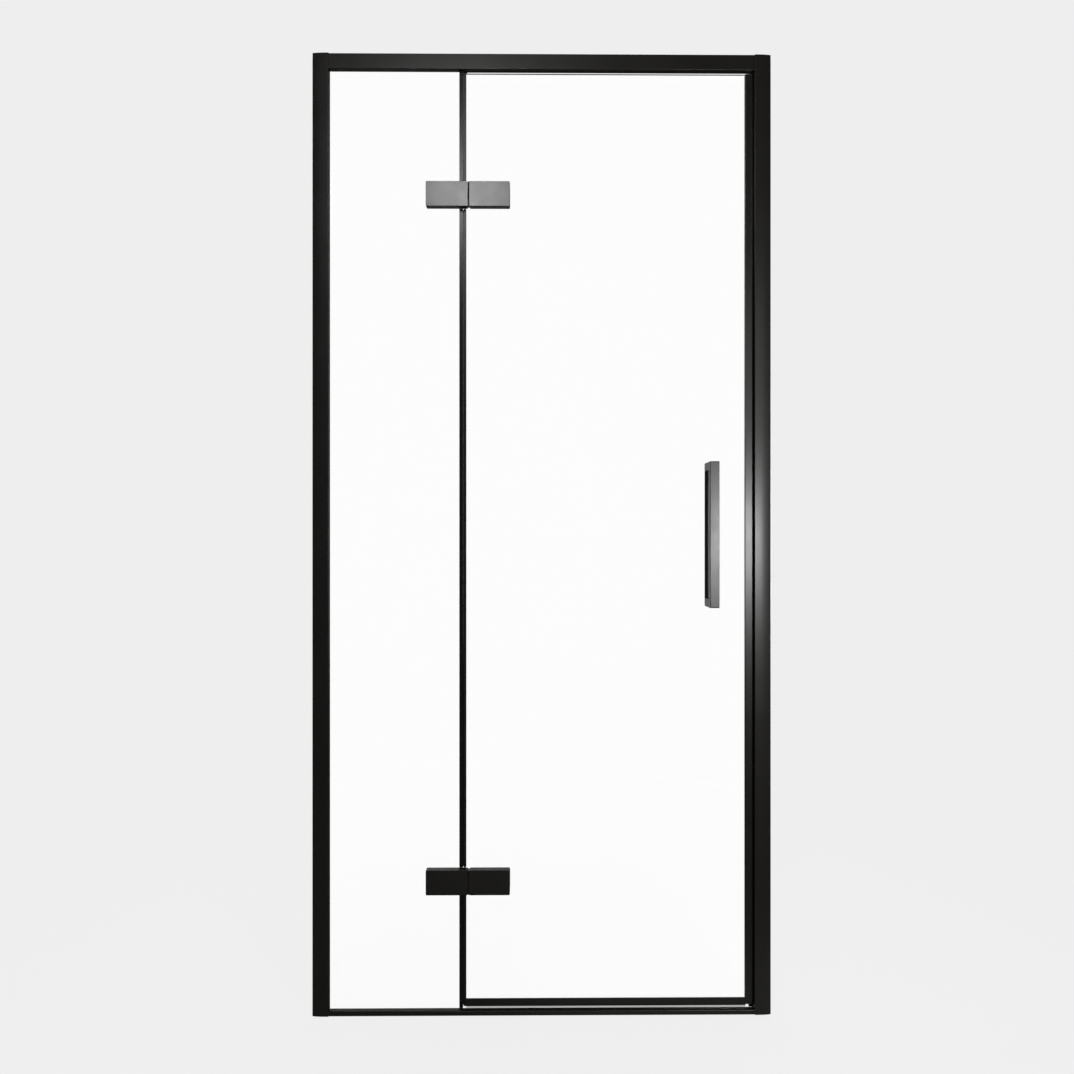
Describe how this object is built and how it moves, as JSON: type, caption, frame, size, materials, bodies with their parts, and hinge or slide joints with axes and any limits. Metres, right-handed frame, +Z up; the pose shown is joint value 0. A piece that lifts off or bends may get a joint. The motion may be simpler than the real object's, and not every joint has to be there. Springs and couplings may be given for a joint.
{
  "type": "hinged shower door",
  "caption": "Framed recess shower door: fixed glass light, outward-opening glass door on block hinges, magnetic closing profile, bar handle and low sill.",
  "frame": {"origin": "on the floor at the middle of the opening's width, on the middle plane of the glass", "axes": "+X to the right along the opening seen from the room, +Y away from the room into the shower, +Z up"},
  "size_m": [0.907, 0.0699, 1.9],
  "materials": {
    "black_powder_coat": "satin black powder coat on aluminium",
    "satin_black_hinge": "satin black coating on solid brass",
    "satin_black_handle": "satin black coating on steel bar",
    "toughened_glass": "clear, polished edges",
    "black_rubber": "matte",
    "magnet_strip": "matte magnetic rubber",
    "black_plastic": "satin moulded",
    "stainless_steel": "plain turned",
    "mill_aluminium": "mill finish extrusion"
  },
  "bodies": {
    "frame": {"bottom_hinge_fixed_back_plate": "satin_black_hinge", "bottom_hinge_fixed_block": "satin_black_hinge", "bottom_hinge_fixed_gaskets": "black_rubber", "bottom_hinge_fixed_screws": "stainless_steel", "bottom_hinge_pin": "stainless_steel", "corner_key_left": "mill_aluminium", "corner_key_right": "mill_aluminium", "fixed_edge_profile_lower": "black_powder_coat", "fixed_edge_profile_middle": "black_powder_coat", "fixed_edge_profile_upper": "black_powder_coat", "fixed_glass": "toughened_glass", "frame_corner_screws": "stainless_steel", "header": "black_powder_coat", "header_door_seal": "black_rubber", "header_glazing_gasket": "black_rubber", "jamb_cap_left": "black_plastic", "jamb_cap_right": "black_plastic", "jamb_glazing_gasket": "black_rubber", "jamb_left": "black_powder_coat", "jamb_right": "black_powder_coat", "jamb_screw_caps_left": "black_plastic", "jamb_screw_caps_right": "black_plastic", "jamb_screws_left": "stainless_steel", "jamb_screws_right": "stainless_steel", "sill": "black_powder_coat", "sill_glazing_gasket": "black_rubber", "strike_magnet": "magnet_strip", "strike_profile": "black_powder_coat", "top_hinge_fixed_back_plate": "satin_black_hinge", "top_hinge_fixed_block": "satin_black_hinge", "top_hinge_fixed_gaskets": "black_rubber", "top_hinge_fixed_screws": "stainless_steel", "top_hinge_pin": "stainless_steel", "wall_channel_left": "mill_aluminium", "wall_channel_right": "mill_aluminium"},
    "door": {"bottom_hinge_moving_back_plate": "satin_black_hinge", "bottom_hinge_moving_block": "satin_black_hinge", "bottom_hinge_moving_gaskets": "black_rubber", "bottom_hinge_moving_screws": "stainless_steel", "door_bottom_profile": "black_powder_coat", "door_bottom_sweep": "black_rubber", "door_closing_profile": "black_powder_coat", "door_edge_seal_lower": "black_rubber", "door_edge_seal_middle": "black_rubber", "door_edge_seal_upper": "black_rubber", "door_glass": "toughened_glass", "door_magnet": "magnet_strip", "handle_backplate": "satin_black_handle", "handle_caps": "satin_black_handle", "handle_grip": "satin_black_handle", "handle_screws": "stainless_steel", "handle_washers": "black_plastic", "top_hinge_moving_back_plate": "satin_black_hinge", "top_hinge_moving_block": "satin_black_hinge", "top_hinge_moving_gaskets": "black_rubber", "top_hinge_moving_screws": "stainless_steel"}
  },
  "joints": [
    {"name": "door_swing", "type": "hinge", "parent": "frame", "child": "door", "pos_m": [-0.1437, -0.0155, 0.95], "axis": [0, 0, -1], "range_deg": [0, 90]}
  ]
}
